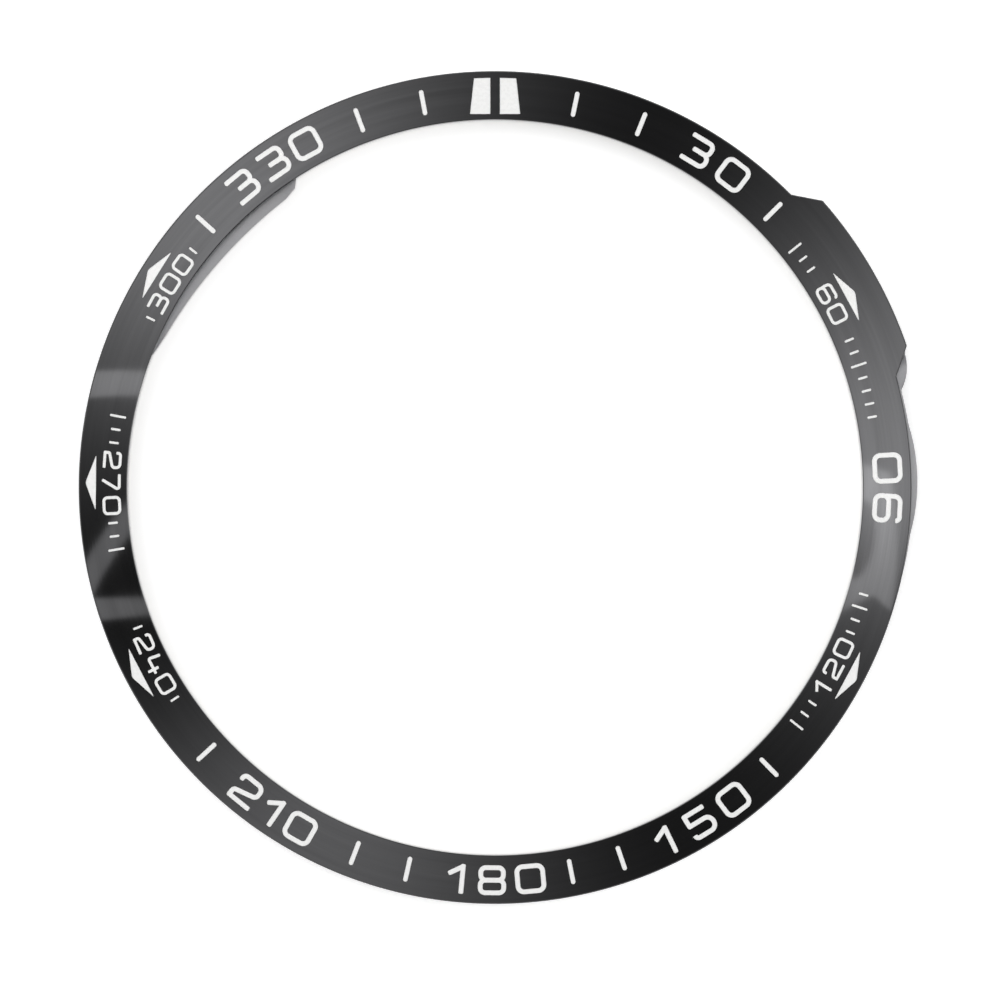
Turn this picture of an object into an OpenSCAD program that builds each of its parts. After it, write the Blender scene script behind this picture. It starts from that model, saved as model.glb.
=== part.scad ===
// Fixed bezel ring for a large round sports watch, in millimetres.
// A machined ring with a crowned top is stuck to the watch case. White enamel fills its engraved marks.
// Clock angles run clockwise from 12 o'clock, which lies along +Y. Z = 0 is the foot of the skirt.

/* [Ring] */
// Diameter of the opening over the display
opening_d = 44.1; // [36:0.1:50]
// Width of the ring, from the opening to its plain outer edge
ring_w = 2.95; // [2.5:0.05:4]
// Height from the foot of the skirt to the top's inner edge
ring_h = 2.4; // [2.3:0.05:3]
// Radius of the top's crown, across the ring's width
crown_r = 21; // [18:1:60]
// Slope of the top at its inner edge
inner_tilt = 4; // [0:0.5:5]
// Bevel along the top's outer edge
edge_bevel = 0.15; // [0.05:0.01:0.2]
// Bevel along the top's inner edge
opening_bevel = 0.1; // [0.04:0.01:0.2]

/* [Seat on the case] */
// Depth of the recess that takes the case's rim
seat_depth = 1.3; // [1:0.05:1.4]
// Wall of the skirt round the recess
skirt_wall = 0.6; // [0.4:0.05:0.8]
// Height where the skirt's wall steps in, so that only the tape's pocket lies above it
ledge_z = 0.8; // [0.6:0.02:0.85]
// How far the wall steps in there
ledge_w = 0.3; // [0.26:0.02:0.4]
// Lead-in bevel at the skirt's foot
lead_in = 0.12; // [0.05:0.01:0.25]
// Wall of the lip round the opening
lip_wall = 0.46; // [0.3:0.02:0.6]
// How far the lip stops short of the tape's face
lip_short = 0.05; // [0.02:0.01:0.1]

/* [Tape and liner] */
// Thickness of the foam tape
tape_t = 0.3; // [0.15:0.01:0.4]
// Gap between the tape and the walls beside it
tape_gap = 0.1; // [0.05:0.01:0.2]
// Thickness of the liner's paper
liner_t = 0.1; // [0.05:0.01:0.12]
// Gap between the liner and its folded tab
fold_gap = 0.06; // [0.04:0.01:0.1]
// How far the folded tab stops short of the liner's outer edge
tab_short = 0.3; // [0.1:0.05:0.6]
// Width of the folded tab, round the ring
tab_w = 7; // [4:0.5:12]

/* [Guard shoulder] */
// How far the shoulder stands out from the ring
guard_proud = 1.17; // [0.9:0.01:1.5]
// Clock angle where the shoulder leaves the ring
guard_start = 45.3; // [40:0.1:50]
// Angle over which it rises to full width
guard_rise = 3.5; // [2:0.1:6]
// Clock angle where its full width ends
guard_stop = 71; // [66:0.1:72]
// Angle over which its end face runs back to the ring
guard_fall = 3.5; // [2:0.1:4]
// Bevel along the shoulder's top edge
guard_bevel = 0.2; // [0.1:0.01:0.3]

/* [Polished steps] */
// How far the steps lie under the ring's outer edge
step_drop = 0.3; // [0.2:0.01:0.6]
// How far the lobe at 3 o'clock stands out from the ring
lobe_proud = 0.38; // [0.2:0.01:0.6]
// Radius of the lobe's curve
lobe_r = 9.4; // [6:0.1:14]
// Clock angle of the lobe's middle
lobe_angle = 89.5; // [86:0.1:94]
// How far the flank behind the shoulder stands out from the ring
flank_proud = 0.78; // [0.4:0.01:0.85]
// Radius of the flank's curve
flank_r = 2.4; // [1.6:0.1:4]
// Clock angle of the flank's middle
flank_angle = 73; // [72:0.1:75]

/* [Inner land] */
// How far the land reaches into the opening
land_reach = 0.67; // [0.4:0.01:0.9]
// Radius of the land's curve
land_r = 36.4; // [34:0.1:45]
// Clock angle of the land's deepest point
land_angle = 314; // [308:0.5:320]
// Clock angle where the land is cut off
land_stop = 326.5; // [322:0.5:332]
// How far the land lies under the top's inner edge
land_drop = 0.35; // [0.25:0.01:0.6]

/* [Marks] */
// Depth of the engraved pockets
pocket_depth = 0.12; // [0.08:0.01:0.2]
// How far the enamel stays below the top
fill_recess = 0.02; // [0.01:0.005:0.04]
// Width of a tick
tick_w = 0.28; // [0.15:0.01:0.45]
// Gap from a tick to the opening's edge
tick_in_gap = 0.65; // [0.3:0.01:0.8]
// Gap from a tick to the ring's outer edge
tick_out_gap = 0.75; // [0.3:0.01:0.9]
// Gap from an index bar to the opening's edge
index_in_gap = 0.33; // [0.25:0.01:0.6]
// Gap from an index bar to the ring's outer edge
index_out_gap = 0.42; // [0.3:0.01:0.7]
// Gap between the two index bars
index_gap = 0.57; // [0.3:0.01:0.8]
// Width of an index bar at its outer end
index_top_w = 0.98; // [0.5:0.01:1.2]
// Width of an index bar at its inner end
index_foot_w = 1.22; // [0.8:0.01:1.5]
// Gap from an arrow's tip to the ring's outer edge
arrow_tip_gap = 0.38; // [0.3:0.01:0.5]
// Height of an arrow from base to tip
arrow_h = 0.64; // [0.4:0.01:0.8]
// Width of an arrow along its base
arrow_w = 3.06; // [2:0.02:4]
// Width of the flat at an arrow's tip
arrow_blunt = 0.16; // [0.05:0.01:0.3]

/* [Hidden] */
$fn = 180;
opening_r = opening_d / 2;
ring_r = opening_r + ring_w;
guard_r = ring_r + guard_proud;
seat_r = ring_r - skirt_wall;
pocket_r = seat_r - ledge_w;
lip_r = opening_r + lip_wall;
tape_z = seat_depth - tape_t;
lip_z = tape_z + lip_short;
liner_z = tape_z - liner_t;
tab_z = liner_z - fold_gap - liner_t;
tape_in = lip_r + tape_gap;
tape_out = pocket_r - tape_gap;
// Centre of the crown's circle in the ring's section
crown_x = opening_r - crown_r * sin(inner_tilt);
crown_z = ring_h - crown_r * cos(inner_tilt);
step_z = top_z(ring_r) - step_drop;
land_z = ring_h - land_drop;
// How far a cutting shape runs past what it cuts
past = 1;
// Clock angles of the ticks and of the arrows
tick_angles = [11.8, 21.9, 45.2, 135.6, 161.2, 168.8, 192.9, 201, 227.5, 312.3, 339.7, 349.4];
arrow_angles = [61.4, 118.2, 242.6, 270.7, 302.1];
tick_names = [for (i = [1:len(tick_angles)]) str("tick_", i)];
arrow_names = ["arrow_060", "arrow_120", "arrow_240", "arrow_270", "arrow_300"];

// Height of the crowned top at radius r
function top_z(r) = crown_z + sqrt(crown_r * crown_r - (r - crown_x) * (r - crown_x));
// Point at radius r on clock angle a
function on_clock(r, a) = [r * sin(a), r * cos(a)];

// Turns what is drawn at 12 o'clock to clock angle a
module at_clock(a) {
    rotate([0, 0, -a]) children();
}

// Disc of radius r whose furthest point lies at reach from the ring's axis, on clock angle a
module disc_out_to(reach, r, a) {
    translate(on_clock(reach - r, a)) circle(r = r);
}

// Section of the crowned solid out to r_out, its top lowered by drop
module crown_section(r_out, drop) {
    intersection() {
        translate([opening_r, 0]) square([r_out - opening_r, ring_h + past]);
        translate([crown_x, crown_z - drop]) circle(r = crown_r);
    }
}

// Section of the 45 degree bevel of width w along the top's edge at radius r
// side is 1 on an outer edge and -1 on an inner one
module bevel_section(r, w, side) {
    reach = 3 * w;
    polygon([
        [r + side * w, top_z(r) - 2 * w],
        [r + side * w, top_z(r) + reach],
        [r - side * (w + reach), top_z(r) + reach]
    ]);
}

// Section of the recess for the rim of the case, of the tape's pocket and of the space under the lip
module seat_section() {
    polygon([
        [opening_r - past, -past],
        [seat_r + lead_in + past, -past],
        [seat_r, lead_in],
        [seat_r, ledge_z],
        [pocket_r, ledge_z],
        [pocket_r, seat_depth],
        [lip_r, seat_depth],
        [lip_r, lip_z],
        [opening_r - past, lip_z]
    ]);
}

// The shoulder from above: full width between two sloping ends, whose lines run past both circles they join
module guard_outline() {
    rise_foot = on_clock(ring_r, guard_start);
    rise_top = on_clock(guard_r, guard_start + guard_rise);
    fall_top = on_clock(guard_r, guard_stop);
    fall_foot = on_clock(ring_r, guard_stop + guard_fall);
    intersection() {
        circle(r = guard_r);
        polygon([
            rise_foot + (rise_foot - rise_top) / 2,
            rise_top + (rise_top - rise_foot) / 2,
            on_clock(guard_r + 2 * past, (guard_start + guard_rise + guard_stop) / 2),
            fall_top + (fall_top - fall_foot) / 2,
            fall_foot + (fall_foot - fall_top) / 2
        ]);
    }
}

// The low steps outside the ring from above: the flank behind the shoulder and the lobe
module step_outline() {
    difference() {
        union() {
            disc_out_to(ring_r + flank_proud, flank_r, flank_angle);
            disc_out_to(ring_r + lobe_proud, lobe_r, lobe_angle);
        }
        circle(r = ring_r - skirt_wall / 2);
    }
}

// The land from above: what the opening has and a flatter, larger curve doesn't, up to where it is cut off
module land_outline() {
    difference() {
        circle(r = opening_r + lip_wall / 2);
        disc_out_to(opening_r - land_reach, land_r, land_angle);
        at_clock(land_stop) square(2 * ring_r);
    }
}

// The ring before its steps, land and pockets
module ring_blank() {
    difference() {
        intersection() {
            rotate_extrude() crown_section(guard_r + past, 0);
            linear_extrude(ring_h + past) {
                circle(r = ring_r);
                guard_outline();
            }
        }
        rotate_extrude() bevel_section(opening_r, opening_bevel, -1);
        rotate_extrude() bevel_section(guard_r, guard_bevel, 1);
        difference() {
            rotate_extrude() bevel_section(ring_r, edge_bevel, 1);
            linear_extrude(ring_h + past) guard_outline();
        }
        rotate_extrude() seat_section();
    }
}

// One bar of the index; side is -1 for the left one and 1 for the right one
module index_outline(side) {
    foot_y = opening_r + index_in_gap;
    top_y = ring_r - index_out_gap;
    near = side * index_gap / 2;
    intersection() {
        circle(r = top_y);
        polygon([
            [near, foot_y],
            [near, top_y],
            [near + side * index_top_w, top_y],
            [near + side * index_foot_w, foot_y]
        ]);
    }
}

// A tick with round ends
module tick_outline(a) {
    low = opening_r + tick_in_gap + tick_w / 2;
    high = ring_r - tick_out_gap - tick_w / 2;
    at_clock(a) {
        translate([-tick_w / 2, low]) square([tick_w, high - low]);
        translate([0, low]) circle(r = tick_w / 2);
        translate([0, high]) circle(r = tick_w / 2);
    }
}

// An arrow that points outward
module arrow_outline(a) {
    tip_y = ring_r - arrow_tip_gap;
    base_y = tip_y - arrow_h;
    at_clock(a) polygon([
        [-arrow_w / 2, base_y],
        [-arrow_blunt / 2, tip_y],
        [arrow_blunt / 2, tip_y],
        [arrow_w / 2, base_y]
    ]);
}

// What is drawn, as pockets from the top down to pocket_depth
module pockets() {
    difference() {
        linear_extrude(ring_h + past) children();
        rotate_extrude() crown_section(ring_r, pocket_depth);
    }
}

// What is drawn, as the enamel in its pocket
module enamel() {
    color("white") intersection() {
        linear_extrude(ring_h + past) children();
        rotate_extrude() difference() {
            crown_section(ring_r, fill_recess);
            crown_section(ring_r, pocket_depth);
        }
    }
}

module bezel_ring() {
    color([0.16, 0.16, 0.17]) difference() {
        union() {
            ring_blank();
            linear_extrude(step_z) step_outline();
            translate([0, 0, lip_z]) linear_extrude(land_z - lip_z) land_outline();
        }
        pockets() {
            index_outline(-1);
            index_outline(1);
            for (a = tick_angles) tick_outline(a);
            for (a = arrow_angles) arrow_outline(a);
        }
    }
}

module index_left() {
    enamel() index_outline(-1);
}

module index_right() {
    enamel() index_outline(1);
}

module tick(i) {
    enamel() tick_outline(tick_angles[i]);
}

module arrow(i) {
    enamel() arrow_outline(arrow_angles[i]);
}

// Foam tape against the underside of the ring
module adhesive_ring() {
    color([0.1, 0.1, 0.1]) rotate_extrude()
        translate([tape_in, tape_z]) square([tape_out - tape_in, tape_t]);
}

// Paper on the tape's face, with a tab at 6 o'clock folded back under it
module release_liner() {
    color([0.93, 0.88, 0.72]) {
        rotate_extrude() translate([tape_in, liner_z]) square([tape_out - tape_in, liner_t]);
        intersection() {
            rotate_extrude() {
                translate([tape_in - liner_t, tab_z]) square([liner_t, tape_z - tab_z]);
                translate([tape_in - liner_t, tab_z]) square([tape_out - tab_short - tape_in + liner_t, liner_t]);
            }
            translate([-tab_w / 2, -ring_r, 0]) cube([tab_w, ring_r, ring_h]);
        }
    }
}

bezel_ring();
adhesive_ring();
release_liner();
index_left();
index_right();
for (i = [0:len(tick_names) - 1]) tick(i);
for (i = [0:len(arrow_names) - 1]) arrow(i);
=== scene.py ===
"""Fixed bezel ring of a large round sports watch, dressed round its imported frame.

Shapes are worked out in millimetres and clock angles, clockwise from 12 o'clock, which lies along +Y.
Each piece is scaled to metres when it is finished.
"""
from math import atan2, ceil, cos, degrees, hypot, radians, sin, sqrt, tan

import bmesh
import bpy
from mathutils import Matrix, Vector


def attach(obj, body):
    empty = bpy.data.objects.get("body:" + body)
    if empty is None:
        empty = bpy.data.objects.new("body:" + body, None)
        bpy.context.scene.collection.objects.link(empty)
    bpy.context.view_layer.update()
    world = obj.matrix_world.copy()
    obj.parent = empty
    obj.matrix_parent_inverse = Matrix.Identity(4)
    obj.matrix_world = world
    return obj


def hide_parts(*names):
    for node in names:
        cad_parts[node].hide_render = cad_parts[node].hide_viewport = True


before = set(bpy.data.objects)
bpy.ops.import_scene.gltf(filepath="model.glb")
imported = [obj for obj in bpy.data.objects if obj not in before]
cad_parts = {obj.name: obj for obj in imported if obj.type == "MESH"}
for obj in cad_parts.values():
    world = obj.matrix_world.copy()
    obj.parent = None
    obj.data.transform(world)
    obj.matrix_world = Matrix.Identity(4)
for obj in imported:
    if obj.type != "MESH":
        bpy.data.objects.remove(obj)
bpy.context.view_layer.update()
scene = bpy.context.scene
scene.view_settings.view_transform = "Standard"


# Camera
# It looks straight down at the ring from 30 cm with a long lens, so that the walls hardly show.
# Its axis passes a little to the right of the ring's and below it, as the picture is framed.
camera = bpy.data.objects.new("camera", bpy.data.cameras.new("camera"))
camera.data.sensor_width = 36
camera.data.lens = 180
camera.location = (0.000294, -0.00075, 0.302)
scene.collection.objects.link(camera)
scene.camera = camera


# Studio light
# A white tent lit from outside by three broad soft lights, at 3, 7 and 10 o'clock. Between them it stays
# dark, which gives black metal its shape, but for three narrow panels of light at 9 o'clock.
class Shade:
    """A node's socket in arithmetic: each operator adds the Math node that it stands for."""

    def __init__(self, tree, socket=None):
        self.tree, self.socket = tree, socket

    def add(self, kind, settings=None, values=None, out=0):
        """Adds a node, sets its settings, then fills its sockets, and gives its output."""
        node = self.tree.nodes.new(kind)
        for name, value in (settings or {}).items():
            setattr(node, name, value)
        for name, value in (values or {}).items():
            if isinstance(value, Shade):
                self.tree.links.new(value.socket, node.inputs[name])
            else:
                node.inputs[name].default_value = value
        return Shade(self.tree, node.outputs[out]) if len(node.outputs) else None

    def beside(self, out):
        """Another output of the same node."""
        return Shade(self.tree, self.socket.node.outputs[out])

    def math(self, operation, *others):
        return self.add("ShaderNodeMath", {"operation": operation}, dict(enumerate((self, *others))))

    def ramp(self, low, high, start=0.0, end=1.0):
        """Runs smoothly from start at low to end at high."""
        return self.add("ShaderNodeMapRange", {"interpolation_type": "SMOOTHSTEP"}, {
            "Value": self, "From Min": low, "From Max": high, "To Min": start, "To Max": end})

    def __add__(self, other):
        return self.math("ADD", other)

    def __sub__(self, other):
        return self.math("SUBTRACT", other)

    def __mul__(self, other):
        return self.math("MULTIPLY", other)

    def __truediv__(self, other):
        return self.math("DIVIDE", other)

    def __mod__(self, other):
        return self.math("FLOORED_MODULO", other)

    def __rsub__(self, other):
        return (self * -1) + other

    __radd__ = __add__
    __rmul__ = __mul__


def blank_shader(owner):
    """Empties a material's or a world's node tree and gives it as a Shade."""
    owner.use_nodes = True
    owner.node_tree.nodes.clear()
    return Shade(owner.node_tree)


def soft_light(clock, middle, width_before, width_after):
    """A light that fades to both sides of its middle."""
    off = (clock - middle + 540) % 360 - 180
    after = off.math("GREATER_THAN", 0.0)
    share = off / (after * (width_after - width_before) + width_before)
    return (share * share * -0.5).math("EXPONENT")


NEAR_TILT, FAR_TILT = 12, 29
BLUR = 0.3


def panel(clock, tilt, from_near, from_far, to_near, to_far):
    """A strip of light between two slanting edges, each given by its clock angles at the two tilts."""
    lean = (tilt - NEAR_TILT) / (FAR_TILT - NEAR_TILT)
    start = clock - (lean * (from_far - from_near) + from_near)
    stop = clock - (lean * (to_far - to_near) + to_near)
    return start.ramp(-BLUR, BLUR) * stop.ramp(-BLUR, BLUR, 1.0, 0.0)


scene.world = bpy.data.worlds.new("studio")
sky = blank_shader(scene.world)
ray = sky.add("ShaderNodeSeparateXYZ", values={"Vector": sky.add("ShaderNodeTexCoord", out="Generated")})
clock = (ray.math("ARCTAN2", ray.beside("Y")).math("DEGREES") + 360) % 360
tilt = ray.beside("Z").math("ARCCOSINE").math("DEGREES")
# A screen cuts off the light at 3 o'clock, and past it only a weak spill goes on. Its bent edge is two
# straight lines, each a clock angle that changes with the tilt.
screen_end = clock - (tilt * -0.417 + 114.14).math("MAXIMUM", tilt * 0.207 + 101.29)
past_screen = screen_end.ramp(-BLUR, BLUR)
three_oclock = soft_light(clock, 88, 23, 12) * 2.61 * (1 - past_screen)
SPILL_START, SPILL_WIDTH = 110, 14
spill = ((clock - SPILL_START) * (-1 / SPILL_WIDTH)).math("EXPONENT") * 0.84 * past_screen
seven_oclock = soft_light(clock, 207, 21, 17.5) * 1.29
ten_oclock = soft_light(clock, 315, 21.3, 24.7) * 2.36
TENT_GLOW = 0.043
overhead = three_oclock + spill + seven_oclock + ten_oclock + TENT_GLOW
# Each panel is its strength and the clock angles of its two edges, each at the near and the far tilt
PANELS = [
    (1.3, 250.4, 251.7, 253.3, 254.9),
    (1.3, 263.5, 255.3, 268.5, 260.0),
    (1.7, 285.0, 282.7, 289.0, 286.5),
]
for strength, *edges in PANELS:
    overhead = overhead + panel(clock, tilt, *edges) * strength
# A mirror stands in the light at 3 o'clock and shows the camera's lens as a dark round
beside_lens, below_lens = (clock - 97.5) / 6.2, (tilt - 12.8) / 4.4
lens = (beside_lens * beside_lens + below_lens * below_lens).ramp(0.9, 1.1)
mirror_top = (tilt - clock * 0.345 + 8.5).ramp(-BLUR, BLUR, 1.0, 0.0)
mirror_start = (clock - tilt * 0.19 - 83.4).ramp(-0.4, 0.4)
overhead = overhead + mirror_start * mirror_top * lens * (1 - past_screen) * 1.8
# Towards the horizon the lights give way to the tent's white wall
wall = tilt.ramp(74, 82, 0.78, 1.0)
on_wall = tilt.ramp(58, 74)
light = overhead * (1 - on_wall) + wall * on_wall
rays = sky.add("ShaderNodeLightPath", out="Is Camera Ray")
background = rays.math("MAXIMUM", rays.beside("Is Transmission Ray"))
light = light * (1 - background) + background
backdrop = sky.add("ShaderNodeBackground", values={"Color": light})
sky.add("ShaderNodeOutputWorld", values={"Surface": backdrop})


# Floor
# A wide sheet of white card, 0.02 mm under the ring's foot so that the two faces don't lie in one plane.
# It keeps the ring's soft shadow.
FLOOR_R = 4.0
FLOOR_Z = -0.00002


def new_object(name, bm):
    """Turns a bmesh into an object in the scene."""
    mesh = bpy.data.meshes.new(name)
    bm.to_mesh(mesh)
    bm.free()
    made = bpy.data.objects.new(name, mesh)
    scene.collection.objects.link(made)
    return made


white_card = bpy.data.materials.new("white_card")
shade = blank_shader(white_card)
rays = shade.add("ShaderNodeLightPath", out="Is Camera Ray")
seen = rays.math("MAXIMUM", rays.beside("Is Glossy Ray"))
seen = seen.math("MAXIMUM", rays.beside("Is Transmission Ray"))
card = shade.add("ShaderNodeBsdfPrincipled", values={
    "Base Color": (0.9, 0.9, 0.9, 1), "Roughness": 1.0, "Specular IOR Level": 0.0,
    "Emission Color": seen * 0.48, "Emission Strength": 1.0})
shade.add("ShaderNodeOutputMaterial", values={"Surface": card})
bm = bmesh.new()
bmesh.ops.create_circle(bm, cap_ends=True, segments=128, radius=FLOOR_R)
bmesh.ops.translate(bm, verts=bm.verts, vec=(0, 0, FLOOR_Z))
floor = new_object("floor", bm)
floor.data.materials.append(white_card)


# Engraved marks
# The marks are pockets 0.12 mm deep, filled with white enamel that has sunk a little as it cured. The
# pair of bars at 12 o'clock and the ticks are the frame's own nodes.
OPENING_R = 22.05
RING_H = 2.4
CROWN_R = 21.0
INNER_TILT = 4
CROWN_X = OPENING_R - CROWN_R * sin(radians(INNER_TILT))
CROWN_Z = RING_H - CROWN_R * cos(radians(INNER_TILT))
POCKET_DEPTH = 0.12
FILL_RECESS = 0.02
CUT_ABOVE = 0.3
MERGE = 0.0005
MM_PER_M = 1000


def crown(r):
    """Height of the crowned top at radius r."""
    return CROWN_Z + sqrt(CROWN_R**2 - (r - CROWN_X) ** 2)


white_enamel = bpy.data.materials.new("white_enamel")
shade = blank_shader(white_enamel)
place = shade.add("ShaderNodeTexCoord", out="Object")
clouds = shade.add("ShaderNodeTexNoise", values={"Vector": place, "Scale": 900.0, "Detail": 3.0})
skin = shade.add("ShaderNodeTexNoise", values={"Vector": place, "Scale": 5000.0, "Detail": 2.0})
tone = clouds * 0.04 + 0.88
colour = shade.add("ShaderNodeCombineColor", values={"Red": tone, "Green": tone, "Blue": tone * 0.99})
bump = shade.add("ShaderNodeBump", values={"Height": skin + clouds, "Distance": 0.000004, "Strength": 1.0})
gloss = shade.add("ShaderNodeBsdfPrincipled", values={
    "Base Color": colour, "Roughness": skin * 0.15 + 0.2, "Normal": bump})
shade.add("ShaderNodeOutputMaterial", values={"Surface": gloss})
pockets = bmesh.new()


def keep_pocket(mesh, scale=1.0):
    """Keeps a filling's shape, raised clear of the top, for the cut that is made in the ring."""
    bm = bmesh.new()
    bm.from_mesh(mesh)
    bmesh.ops.scale(bm, verts=bm.verts, vec=(scale, scale, scale))
    bmesh.ops.remove_doubles(bm, verts=bm.verts, dist=MERGE)
    for v in bm.verts:
        surface = crown(hypot(v.co.x, v.co.y))
        if v.co.z > surface - (POCKET_DEPTH + FILL_RECESS) / 2:
            v.co.z = surface + CUT_ABOVE
    raised = bpy.data.meshes.new("pocket")
    bm.to_mesh(raised)
    bm.free()
    pockets.from_mesh(raised)
    bpy.data.meshes.remove(raised)


for name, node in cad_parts.items():
    if name.startswith(("index", "tick")):
        node.data.materials.clear()
        node.data.materials.append(white_enamel)
        keep_pocket(node.data, MM_PER_M)


# Numerals
# Degree numbers in the same engraving, each digit a filling of its own. The strokes are even, as a round
# cutter leaves them, and the tops point outwards above the dial's middle and inwards below it.
DIGIT_H = 1.82
STROKE = 0.295
NUMERAL_R = 23.55
LOW, HALF, HIGH = STROKE / 2, DIGIT_H / 2, DIGIT_H - STROKE / 2
LONGEST_STEP = 0.25
DEGREES_A_STEP = 9
CREASE = 28


def stroke(bm, points, bends=0.3, closed=False, width=STROKE, tip=0.09):
    """Draws a flat, even stroke through the points, with a bend at each corner. The nib is an edge: it is
    extruded along the straights and spun round the bends."""
    path = [Vector((*p, 0)) for p in points]
    if closed:
        middle = (path[0] + path[-1]) / 2
        path = [middle, *path, middle]
    bends = bends if isinstance(bends, tuple) else (bends,) * (len(path) - 2)
    at, heading = path[0], (path[1] - path[0]).normalized()
    across = Vector((-heading.y, heading.x, 0)) * width / 2
    ends = [bm.verts.new(at + across), bm.verts.new(at - across)]
    nib = bm.edges.new(ends)
    for k in range(1, len(path)):
        reach, turn = 0.0, 0.0
        if k < len(path) - 1:
            bend = bends[k - 1]
            onward = (path[k + 1] - path[k]).normalized()
            turn = atan2(heading.cross(onward).z, heading.dot(onward))
            reach = bend * tan(abs(turn) / 2)
        length = (path[k] - at).length - reach
        steps = ceil(length / LONGEST_STEP)
        for _ in range(steps):
            made = bmesh.ops.extrude_edge_only(bm, edges=[nib])["geom"]
            moved = [g for g in made if isinstance(g, bmesh.types.BMVert)]
            bmesh.ops.translate(bm, verts=moved, vec=heading * length / steps)
            nib = next(e for e in moved[0].link_edges if e.other_vert(moved[0]) is moved[1])
        at = path[k] - heading * reach
        if turn:
            side = Vector((-heading.y, heading.x, 0)) * (1 if turn > 0 else -1)
            made = bmesh.ops.spin(
                bm, geom=[nib, *nib.verts], cent=at + side * bend, axis=(0, 0, 1), angle=turn,
                steps=ceil(abs(degrees(turn)) / DEGREES_A_STEP), use_merge=False)["geom_last"]
            nib = next(g for g in made if isinstance(g, bmesh.types.BMEdge))
            heading, at = onward, path[k] + onward * reach
    if closed:
        bmesh.ops.remove_doubles(bm, verts=ends + list(nib.verts), dist=MERGE)
    else:
        bmesh.ops.bevel(
            bm, geom=ends + list(nib.verts), offset=tip, segments=3, profile=0.5, affect="VERTICES",
            material=-1)


def outline_box(right, low, high, inset=0.0):
    """Corners of a closed stroke, from the lower left one clockwise."""
    return [(LOW + inset, low), (LOW + inset, high), (right - inset, high), (right - inset, low)]


def thicken(bm, height=1.0):
    """Makes a closed solid of a flat drawing, from z = 0 up."""
    raised = bmesh.ops.extrude_face_region(bm, geom=bm.faces[:])["geom"]
    upper = [g for g in raised if isinstance(g, bmesh.types.BMVert)]
    bmesh.ops.translate(bm, verts=upper, vec=(0, 0, height))
    bmesh.ops.recalc_face_normals(bm, faces=bm.faces)


def solid_stroke(points, *how, **sizes):
    """One stroke as a closed solid object."""
    bm = bmesh.new()
    stroke(bm, points, *how, **sizes)
    thicken(bm)
    return new_object("stroke", bm)


def join_shape(piece, tool, operation):
    """Cuts or joins one closed mesh with another, which is used up."""
    step = piece.modifiers.new("step", "BOOLEAN")
    step.operation, step.solver, step.object = operation, "EXACT", tool
    bpy.context.view_layer.update()
    done = bpy.data.meshes.new_from_object(piece.evaluated_get(bpy.context.evaluated_depsgraph_get()))
    bm = bmesh.new()
    bm.from_mesh(done)
    bmesh.ops.remove_doubles(bm, verts=bm.verts, dist=MERGE)
    bm.to_mesh(done)
    bm.free()
    piece.modifiers.clear()
    piece.data = done
    bpy.data.objects.remove(tool)


# Each digit is its width and its strokes: points, bends, and whether the stroke closes
NINE = [
    ([(LOW, 0.84), (LOW, HIGH), (1.62, HIGH), (1.62, 0.84)], 0.36, True),
    ([(1.61, HALF + 0.2), (1.61, LOW), (LOW, LOW), (LOW, LOW + 0.25)], (0.36, 0.22)),
]
DIGITS = {
    "0": (1.85, [(outline_box(1.70, LOW, HIGH), 0.36, True)]),
    "1": (0.94, [([(0.79, DIGIT_H), (0.79, 0)],), ([(-0.06, HIGH - 0.51), (0.79, HIGH)],)]),
    "2": (1.72, [
        ([(0.17, 1.25), (0.17, HIGH), (1.57, HIGH), (1.57, 0.95), (LOW, 0.58), (LOW, 0.04)],
         (0.25, 0.36, 0.28, 0.17)),
        ([(0.02, LOW), (1.67, LOW)],)]),
    "3": (1.74, [
        ([(0.06, HIGH), (1.54, HIGH), (1.54, HALF + 0.01), (0.5, HALF + 0.01)],),
        ([(0.9, HALF), (1.59, HALF), (1.59, LOW), (0.04, LOW)], 0.33)]),
    "4": (1.80, [
        ([(0.35, DIGIT_H), (0.19, 0.62), (1.80, 0.62)], 0.18), ([(1.33, 1.15), (1.33, 0)],)]),
    "5": (1.71, [
        ([(1.5, HIGH), (0.02, HIGH)],), ([(LOW, DIGIT_H - 0.02), (LOW, HALF)],),
        ([(0.03, HALF + 0.1), (1.56, HALF + 0.1), (1.56, LOW), (LOW, LOW), (LOW, LOW + 0.25)],
         (0.4, 0.4, 0.22))]),
    "6": (1.77, [([(1.77 - x, DIGIT_H - y) for x, y in points], *how) for points, *how in NINE]),
    "7": (1.68, [([(0, HIGH), (1.53, HIGH), (0.55, 0)], 0.2)]),
    "8": (1.71, [
        (outline_box(1.56, LOW, HALF), 0.3, True),
        (outline_box(1.56, HALF + 0.01, HIGH, 0.03), 0.3, True)]),
    "9": (1.77, NINE),
}
drawn = {}
for digit, (width, strokes) in DIGITS.items():
    piece = solid_stroke(*strokes[0])
    for more in strokes[1:]:
        join_shape(piece, solid_stroke(*more), "UNION")
    piece.data.transform(Matrix.Translation((-width / 2, -DIGIT_H / 2, 0)))
    drawn[digit] = piece.data
    bpy.data.objects.remove(piece)


def on_clock(r, a):
    """The point at radius r and clock angle a."""
    return Vector((r * sin(radians(a)), r * cos(radians(a)), 0))


def mark_frame(r, a, inward, scale=1.0):
    """Stands a mark's drawing at a clock angle, its top outwards or inwards."""
    turn = radians(180 - a if inward else -a)
    size = Matrix.Diagonal((scale, scale, 1, 1))
    return Matrix.Translation(on_clock(r, a)) @ Matrix.Rotation(turn, 4, "Z") @ size


def finish_mesh(piece):
    """Brings a mesh in millimetres to metres and shades it smoothly between its sharp edges."""
    piece.data.transform(Matrix.Scale(1 / MM_PER_M, 4))
    for face in piece.data.polygons:
        face.use_smooth = True
    piece.data.set_sharp_from_angle(angle=radians(CREASE))


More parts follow.
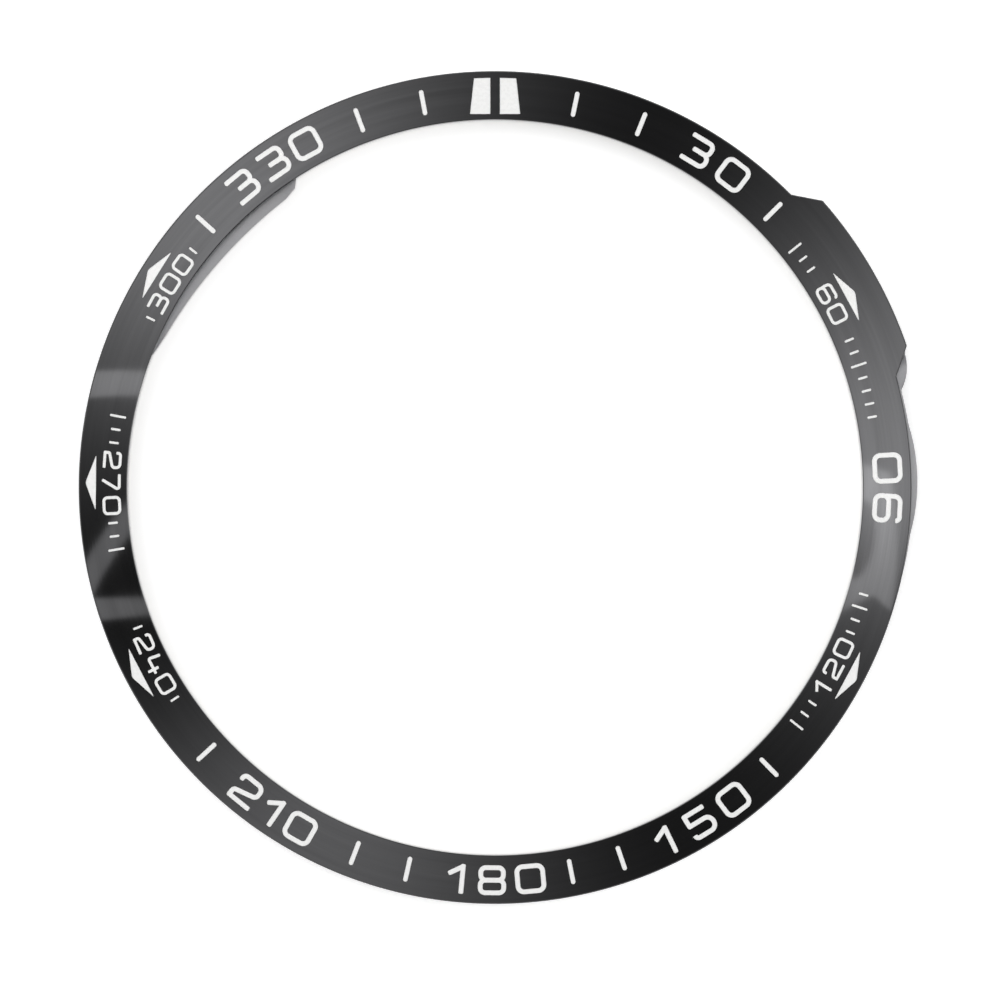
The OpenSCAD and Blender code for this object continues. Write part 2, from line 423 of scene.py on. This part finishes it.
def fill_marks(name, bm, node=None):
    """Sinks marks that are drawn from z = 0 to 1 into the crown, as one piece of enamel, and keeps their
    pocket. The piece takes the place of a node of the frame, if one is named."""
    for v in bm.verts:
        v.co.z = crown(hypot(v.co.x, v.co.y)) - (FILL_RECESS if v.co.z > 0.5 else POCKET_DEPTH)
    piece = new_object(name, bm)
    keep_pocket(piece.data)
    finish_mesh(piece)
    piece.data.materials.append(white_enamel)
    if node:
        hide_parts(node)
    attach(piece, "root")


def add_drawing(bm, mesh, matrix):
    """Adds a copy of one mark's drawing to a group of marks."""
    copy = mesh.copy()
    copy.transform(matrix)
    bm.from_mesh(copy)
    bpy.data.meshes.remove(copy)


# Each number has the clock angles of its digits, and whether their tops point inwards
NUMERALS = [
    ("30", (31.15, 37.25), False), ("330", (320.15, 325.75, 331.15), False), ("90", (93.0, 87.15), True),
    ("150", (154.3, 148.45, 142.65), True), ("180", (185.6, 180.45, 174.85), True),
    ("210", (219.3, 214.6, 209.75), True),
]
for number, angles, inward in NUMERALS:
    bm = bmesh.new()
    for digit, a in zip(number, angles):
        add_drawing(bm, drawn[digit], mark_frame(NUMERAL_R, a, inward))
    fill_marks("numeral_" + number, bm)


# Arrows
# Five arrowheads point outwards at the buttons, their corners rounded as the cutter leaves them. They take
# the place of the frame's own, which are a little narrower and lie a little further out.
ARROW_R = 23.935
ARROW_H = 0.65
ARROW_W = 3.38
ARROW_ROUND = 0.15
ARROWS = {"060": 61.5, "120": 118.1, "240": 242.4, "270": 270.7, "300": 302.1}

bm = bmesh.new()
triangle = [(-ARROW_W / 2, 0), (ARROW_W / 2, 0), (0, ARROW_H)]
bm.faces.new([bm.verts.new((x, y, 0)) for x, y in triangle])
bmesh.ops.bevel(
    bm, geom=bm.verts[:], offset=ARROW_ROUND, segments=3, profile=0.5, affect="VERTICES", material=-1)
# Cut lines across the arrowhead let it follow the crown
for x in (-1.2, -0.8, -0.4, 0, 0.4, 0.8, 1.2):
    bmesh.ops.bisect_plane(
        bm, geom=bm.verts[:] + bm.edges[:] + bm.faces[:], plane_co=(x, 0, 0), plane_no=(1, 0, 0))
thicken(bm)
arrowhead = bpy.data.meshes.new("arrowhead")
bm.to_mesh(arrowhead)
bm.free()
for number, a in ARROWS.items():
    bm = bmesh.new()
    add_drawing(bm, arrowhead, mark_frame(ARROW_R, a, False))
    fill_marks("arrowhead_" + number, bm, "arrow_" + number)


# Small numbers
# A small number stands on the inner side of each arrow, between short graduations of the same enamel. Its
# digits are the numerals' own at a smaller scale.
SMALL = 0.62
SMALL_R = 23.0
SMALL_PITCH = 3.4
LINE_W = 0.14
LINE_TIP = 0.06
LINE_PITCH = 2
LINE_GAP = 0.7
MOST_LINES = 9
LONG_EVERY = 5
# Each place is its number, the clock angles of its middle and of the ends of its lines, and whether the
# digits' tops point inwards
PLACES = [
    ("60", 61.4, 49.7, 79.6, False), ("120", 118.2, 105.0, 129.7, True), ("240", 242.6, 235.0, 250.3, True),
    ("270", 270.7, 260.0, 281.8, True), ("300", 302.1, 295.6, 309.5, False),
]


def graduation(length):
    """A short engraved line, with the rounded ends that a cutter leaves."""
    piece = solid_stroke([(0, -length / 2), (0, length / 2)], width=LINE_W, tip=LINE_TIP)
    line = piece.data
    bpy.data.objects.remove(piece)
    return line


LONG_LINE, SHORT_LINE = graduation(1.0), graduation(0.6)
for number, middle, first, last, inward in PLACES:
    bm = bmesh.new()
    for k, digit in enumerate(number):
        along = (k - (len(number) - 1) / 2) * SMALL_PITCH
        a = middle + (-along if inward else along)
        add_drawing(bm, drawn[digit], mark_frame(SMALL_R, a, inward, SMALL))
    clear = len(number) * SMALL_PITCH / 2 + LINE_GAP
    for k in range(-MOST_LINES, MOST_LINES + 1):
        a = middle + LINE_PITCH * k
        if first <= a <= last and abs(a - middle) > clear:
            line = SHORT_LINE if k % LONG_EVERY else LONG_LINE
            add_drawing(bm, line, mark_frame(SMALL_R, a, inward))
    fill_marks("small_number_" + number, bm)


# Bezel ring
# One piece of stainless steel, turned, then brushed round its crowned top and coated black. The guard at
# 2 o'clock stands out beside a button. The low steps below it and the land inside the opening are blasted,
# and their upward faces are painted paler as a highlight where they catch the light.
RING_R = 25.0
GUARD_R = 26.17
GUARD_START, GUARD_RISEN, GUARD_FALLS, GUARD_END = 45.3, 48.8, 71, 74.5
# The low steps are two lobes and the narrow ledge that joins them, each part of a disc, given as its
# furthest reach from the ring's axis, its own radius and the clock angle of its middle
STEPS = [(25.92, 3.0, 71.6), (25.38, 11.5, 88.6), (25.15, 22.0, 87)]
# The land's edge runs along a slant, an arc of such a disc and two short lines. Its points are given as
# (radius, angle).
LAND_START, SLANT_END = (OPENING_R, 290.9), (21.65, 297)
LAND_ARC = (21.34, 29.1, 317)
ARC_END, LAND_CORNER, LAND_END = (21.38, 324), (21.6, 326.2), (OPENING_R, 327.2)
LEAST_STEP = 0.015
SECTIONS = 720


def line_reach(a, start, stop):
    """Radius, at clock angle a, of the straight line between two points given as (radius, angle)."""
    p, q = on_clock(*start), on_clock(*stop)
    return p.cross(q - p).z / on_clock(1, a).cross(q - p).z


def disc_reach(a, reach, disc_r, middle):
    """Radius, at clock angle a, of a disc whose furthest point lies at that reach on its middle angle."""
    off = reach - disc_r
    side = off * sin(radians(a - middle))
    if abs(side) >= disc_r:
        return 0.0
    return off * cos(radians(a - middle)) + sqrt(disc_r**2 - side**2)


def guard_reach(a):
    """Outer radius of the top at clock angle a."""
    if GUARD_START < a < GUARD_RISEN:
        return line_reach(a, (RING_R, GUARD_START), (GUARD_R, GUARD_RISEN))
    if GUARD_FALLS < a < GUARD_END:
        return line_reach(a, (GUARD_R, GUARD_FALLS), (RING_R, GUARD_END))
    return GUARD_R if GUARD_RISEN <= a <= GUARD_FALLS else RING_R


def step_reach(a):
    """Outer radius of the low steps at clock angle a, or 0 where there are none."""
    reach = max(disc_reach(a, *step) for step in STEPS)
    return reach if reach > guard_reach(a) + LEAST_STEP else 0.0


def land_reach(a):
    """Inner radius of the land at clock angle a, or of the opening where there is no land."""
    if not LAND_START[1] < a < LAND_END[1]:
        return OPENING_R
    if a > LAND_CORNER[1]:
        return line_reach(a, LAND_CORNER, LAND_END)
    if a > ARC_END[1]:
        return line_reach(a, ARC_END, LAND_CORNER)
    slant = line_reach(a, LAND_START, SLANT_END) if a < SLANT_END[1] else 0.0
    reach = max(disc_reach(a, *LAND_ARC), slant)
    return reach if reach < OPENING_R - LEAST_STEP else OPENING_R


# Each station of the ring's section is a rule that gives its radius and height at a clock angle. Those on
# rounded edges are given by how far they lie inward of the edge and below it.
STEP_DROP, LEAST_DROP = 0.3, 0.21
STEP_Z, LAND_Z = crown(RING_R) - STEP_DROP, 2.05
INNER_ROUND, OUTER_ROUND = 0.04, 0.09
ROUNDING = [(0, 0.07), (0.02, 0.02), (0.07, 0)]
ROUNDED_WIDTH = 0.08
TOP_STEPS = 14


def all_round(r, z):
    """A station that is the same all round."""
    return lambda a: (r, z)


def on_top(share):
    """A station on the crown, at a share of the way from its inner edge to its outer one."""
    def place(a):
        start, stop = OPENING_R + INNER_ROUND, guard_reach(a) - OUTER_ROUND
        r = start + share * (stop - start)
        return r, crown(r)

    return place


def on_edge(inward, down):
    """A station on the rounded outer edge of the top."""
    def place(a):
        r = guard_reach(a)
        return r - inward, crown(r) - down

    return place


def on_step(inward, down):
    """A station on the low steps, whose rounded edge shrinks where they are narrow. They have no width
    where the ring has none. With no inward distance it lies at their root."""
    def place(a):
        top = guard_reach(a)
        width = max(step_reach(a) - top, 0.0)
        size = min(width / ROUNDED_WIDTH, 1.0)
        shelf = min(STEP_Z, crown(top) - LEAST_DROP)
        if inward is None:
            return top, shelf
        return top + width - inward * size, shelf - down * size

    return place


def on_land(inward, down):
    """A station on the land inside the opening, in the same way."""
    def place(a):
        width = OPENING_R - land_reach(a)
        size = min(width / ROUNDED_WIDTH, 1.0)
        if inward is None:
            return OPENING_R, LAND_Z
        return OPENING_R - width + inward * size, LAND_Z - down * size

    return place


def on_foot(inward, z):
    """A station on the foot of the outer wall."""
    return lambda a: (max(guard_reach(a), step_reach(a)) - inward, z)


def lathe(bm, corners, steps):
    """Joins the corners of a section and spins it once round the axis."""
    for k, corner in enumerate(corners):
        bm.edges.new((corners[k - 1], corner))
    bmesh.ops.spin(
        bm, geom=bm.verts[:] + bm.edges[:], cent=(0, 0, 0), axis=(0, 0, 1), angle=radians(360), steps=steps,
        use_merge=True)


stations = [all_round(OPENING_R, crown(OPENING_R) - INNER_ROUND)]
stations += [all_round(OPENING_R + 0.012, crown(OPENING_R) - 0.014)]
stations += [on_top(share) for share in (0, 0.01, *(k / TOP_STEPS for k in range(1, TOP_STEPS)), 0.99, 1)]
stations += [on_edge(0.05, 0.02), on_edge(0.018, 0.05), on_edge(0, OUTER_ROUND)]
stations += [on_step(None, 0), *(on_step(*point) for point in reversed(ROUNDING))]
stations += [on_foot(*point) for point in ROUNDING]
# Under the ring: the case's seat with its lead-in, the ledge, the tape's pocket and the lip inside it
SEAT_R, LEAD_IN, LEDGE_Z = 24.4, 0.12, 0.8
POCKET_R, POCKET_Z, LIP_R, LIP_Z = 24.1, 1.3, 22.51, 1.05
stations += [all_round(SEAT_R + LEAD_IN, 0), all_round(SEAT_R, LEAD_IN), all_round(SEAT_R, LEDGE_Z)]
stations += [all_round(POCKET_R, LEDGE_Z), all_round(POCKET_R, POCKET_Z)]
stations += [all_round(LIP_R, POCKET_Z), all_round(LIP_R, LIP_Z), lambda a: (land_reach(a), LIP_Z)]
stations += [*(on_land(*point) for point in ROUNDING), on_land(None, 0)]

bm = bmesh.new()
station_of = bm.verts.layers.int.new("station")
section_corners = []
for k, place in enumerate(stations):
    r, z = place(0)
    corner = bm.verts.new((0, r, z))
    corner[station_of] = k
    section_corners.append(corner)
lathe(bm, section_corners, SECTIONS)
# The section nearest each corner of the outline moves on to it
outline_corners = (GUARD_START, GUARD_RISEN, GUARD_FALLS, GUARD_END, LAND_CORNER[1], LAND_END[1])
moved_on = {round(a * SECTIONS / 360): a for a in outline_corners}
for v in bm.verts:
    section = round(degrees(atan2(v.co.x, v.co.y)) % 360 * SECTIONS / 360) % SECTIONS
    a = moved_on.get(section, section * 360 / SECTIONS)
    r, z = stations[v[station_of]](a)
    v.co = on_clock(r, a) + Vector((0, 0, z))
bmesh.ops.remove_doubles(bm, verts=bm.verts, dist=MERGE)
bmesh.ops.recalc_face_normals(bm, faces=bm.faces)
ring = new_object("ring", bm)
join_shape(ring, new_object("pockets", pockets), "DIFFERENCE")

# The blasted faces that look up are painted paler, partly for their finish and partly as a painted
# highlight
# where they catch the light: the land, which is the paler one, and the low steps
LAND_TONE_AND_HIGHLIGHT, STEP_TONE_AND_HIGHLIGHT = 0.44, 0.31
# Only faces that look up get the painted highlight
LOOKS_UP = 0.3
CLEAR_OF_EDGE = 0.01
satin_and_painted_highlight = ring.data.attributes.new("satin_and_painted_highlight", "FLOAT", "FACE")
for face in ring.data.polygons:
    r = hypot(face.center.x, face.center.y)
    a = degrees(atan2(face.center.x, face.center.y)) % 360
    tone = 0.0
    if r < OPENING_R - CLEAR_OF_EDGE:
        tone = LAND_TONE_AND_HIGHLIGHT
    elif r > guard_reach(a) + CLEAR_OF_EDGE:
        tone = STEP_TONE_AND_HIGHLIGHT
    satin_and_painted_highlight.data[face.index].value = tone if face.normal.z > LOOKS_UP else 0.0
finish_mesh(ring)


def on_crown(p):
    """Whether a point of the finished ring lies on its crown, within a thousandth of a millimetre."""
    return abs(crown(hypot(p.x, p.y) * MM_PER_M) - p.z * MM_PER_M) < 0.001


# The turned top keeps its true normals, which the faces cut by the pockets would upset
NEARLY_LEVEL = 0.8
crown_middle = Vector((CROWN_X, CROWN_Z)) / MM_PER_M
normals = [corner.vector.copy() for corner in ring.data.corner_normals]
for face in ring.data.polygons:
    points = [ring.data.vertices[k].co for k in face.vertices]
    if face.normal.z > NEARLY_LEVEL and all(on_crown(p) for p in points):
        for loop, p in zip(face.loop_indices, points):
            r = hypot(p.x, p.y)
            out = (r - crown_middle.x) / r
            normals[loop] = Vector((p.x * out, p.y * out, p.z - crown_middle.y)).normalized()
ring.data.normals_split_custom_set(normals)

black_steel = bpy.data.materials.new("black_steel")
shade = blank_shader(black_steel)
place = shade.add("ShaderNodeTexCoord", out="Object")
x = shade.add("ShaderNodeSeparateXYZ", values={"Vector": place})
y, z = x.beside("Y"), x.beside("Z")
radius = (x * x + y * y).math("SQRT")


def brushing(lines_per_mm, turn):
    """Fine lines round the ring. The higher the turn, the shorter they are."""
    path = shade.add("ShaderNodeCombineXYZ", values={
        "X": x / radius * turn, "Y": y / radius * turn, "Z": (radius + z) * (lines_per_mm * MM_PER_M)})
    return shade.add("ShaderNodeTexNoise", values={
        "Vector": path, "Scale": 1.0, "Detail": 2.0, "Roughness": 0.6})


fine, coarse = brushing(14, 3), brushing(3, 1.5)
grain = shade.add("ShaderNodeTexNoise", values={"Vector": place, "Scale": 12000.0, "Detail": 3.0})
finish_and_highlight_tone = shade.add("ShaderNodeAttribute", {"attribute_name": "satin_and_painted_highlight"}, out="Fac")
blasted = finish_and_highlight_tone.math("GREATER_THAN", 0.1)
brushed = 1 - blasted
# The pale tone of the blasted faces is partly their finish and partly a painted highlight
tone = (fine * 0.018 + coarse * 0.024 + 0.0495) * brushed + finish_and_highlight_tone * (grain * 0.16 + 0.92)
colour = shade.add("ShaderNodeCombineColor", values={"Red": tone, "Green": tone, "Blue": tone * 1.03})
bump = shade.add("ShaderNodeBump", values={
    "Height": (fine + coarse) * brushed + grain * blasted * 3, "Distance": 0.0000006, "Strength": 1.0})
metal = shade.add("ShaderNodeBsdfPrincipled", values={
    "Base Color": colour, "Metallic": 1.0, "Roughness": (fine * 0.02 + 0.05) * brushed + blasted * 0.45,
    "Anisotropic": 1.0, "Anisotropic Rotation": 0.25, "Normal": bump})
shade.add("ShaderNodeOutputMaterial", values={"Surface": metal})
ring.data.materials.append(black_steel)
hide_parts("bezel_ring")
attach(ring, "root")


# Foam tape
# A ring of closed-cell acrylic foam, black, 0.3 mm thick, stuck under the top inside the seat. It holds
# the bezel on its case. The frame's own solid is shown.
foam_tape = bpy.data.materials.new("foam_tape")
shade = blank_shader(foam_tape)
place = shade.add("ShaderNodeTexCoord", out="Object")
cells = shade.add("ShaderNodeTexVoronoi", values={"Vector": place, "Scale": 7000.0})
patches = shade.add("ShaderNodeTexNoise", values={"Vector": place, "Scale": 400.0, "Detail": 3.0})
tone = cells * 0.012 + patches * 0.014 + 0.018
colour = shade.add("ShaderNodeCombineColor", values={"Red": tone, "Green": tone, "Blue": tone * 1.04})
bump = shade.add("ShaderNodeBump", values={"Height": cells, "Distance": 0.00002, "Strength": 1.0})
foam = shade.add("ShaderNodeBsdfPrincipled", values={
    "Base Color": colour, "Roughness": patches * 0.15 + 0.78, "Normal": bump})
shade.add("ShaderNodeOutputMaterial", values={"Surface": foam})
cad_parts["adhesive_ring"].data.materials.clear()
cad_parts["adhesive_ring"].data.materials.append(foam_tape)


# Release liner
# Waxed kraft paper, 0.1 mm thick, on the foam's lower face until the bezel is stuck on. Its pull tab at
# 6 o'clock is folded back under the ring.
LINER_IN, LINER_OUT, LINER_Z = 22.61, 24.0, 0.95
PAPER_T = 0.1
FOLD_R = 0.08
FOLD_IN = 22.56
TAB_ROOT, TAB_OUT = 22.95, 23.7
TAB_Z = LINER_Z - 2 * FOLD_R
TAB_W = 7.0
TAB_T = PAPER_T - 0.004
TAB_TIP = 0.02
TAB_CUTS = 20

bm = bmesh.new()
under, over = LINER_Z - PAPER_T / 2, LINER_Z + PAPER_T / 2
sheet = [(LINER_IN, under), (LINER_OUT, under), (LINER_OUT, over), (LINER_IN, over)]
lathe(bm, [bm.verts.new((0, r, z)) for r, z in sheet], 360)
bmesh.ops.recalc_face_normals(bm, faces=bm.faces)
liner = new_object("liner", bm)

# The tab is drawn from the side, as radius and height, then swept across its width and bent round with the
# ring. It is a hair thinner than the liner, so that no two of their faces lie in one plane.
bm = bmesh.new()
folded = [(TAB_ROOT, LINER_Z), (FOLD_IN, LINER_Z), (FOLD_IN, TAB_Z), (TAB_OUT, TAB_Z)]
stroke(bm, folded, FOLD_R, width=TAB_T, tip=TAB_TIP)
thicken(bm, TAB_W)
across = [e for e in bm.edges if abs(e.verts[0].co.z - e.verts[1].co.z) > TAB_W / 2]
bmesh.ops.subdivide_edges(bm, edges=across, cuts=TAB_CUTS)
for v in bm.verts:
    r, z, along = v.co
    v.co = on_clock(r, 180 + degrees((along - TAB_W / 2) / TAB_OUT)) + Vector((0, 0, z))
bmesh.ops.recalc_face_normals(bm, faces=bm.faces)
join_shape(liner, new_object("tab", bm), "UNION")
finish_mesh(liner)

liner_paper = bpy.data.materials.new("liner_paper")
shade = blank_shader(liner_paper)
place = shade.add("ShaderNodeTexCoord", out="Object")
blotches = shade.add("ShaderNodeTexNoise", values={"Vector": place, "Scale": 700.0, "Detail": 4.0})
stretched = shade.add("ShaderNodeMapping", values={"Vector": place, "Scale": (1.0, 7.0, 7.0)})
fibres = shade.add("ShaderNodeTexNoise", values={"Vector": stretched, "Scale": 1800.0, "Detail": 5.0})
flecks = fibres.ramp(0.62, 0.7)
paper_colour = shade.add("ShaderNodeMix", {"data_type": "RGBA"}, {
    0: blotches.ramp(0.35, 0.65), 6: (0.72, 0.65, 0.47, 1), 7: (0.80, 0.745, 0.58, 1)}, 2)
paper_colour = shade.add("ShaderNodeMix", {"data_type": "RGBA"}, {
    0: flecks, 6: paper_colour, 7: (0.52, 0.42, 0.27, 1)}, 2)
bump = shade.add("ShaderNodeBump", values={"Height": fibres, "Distance": 0.000015, "Strength": 1.0})
paper = shade.add("ShaderNodeBsdfPrincipled", values={
    "Base Color": paper_colour, "Roughness": fibres * 0.2 + 0.38,
    "Coat Weight": 0.25, "Coat Roughness": 0.3, "Normal": bump})
shade.add("ShaderNodeOutputMaterial", values={"Surface": paper})
liner.data.materials.append(liner_paper)
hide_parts("release_liner")
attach(liner, "root")
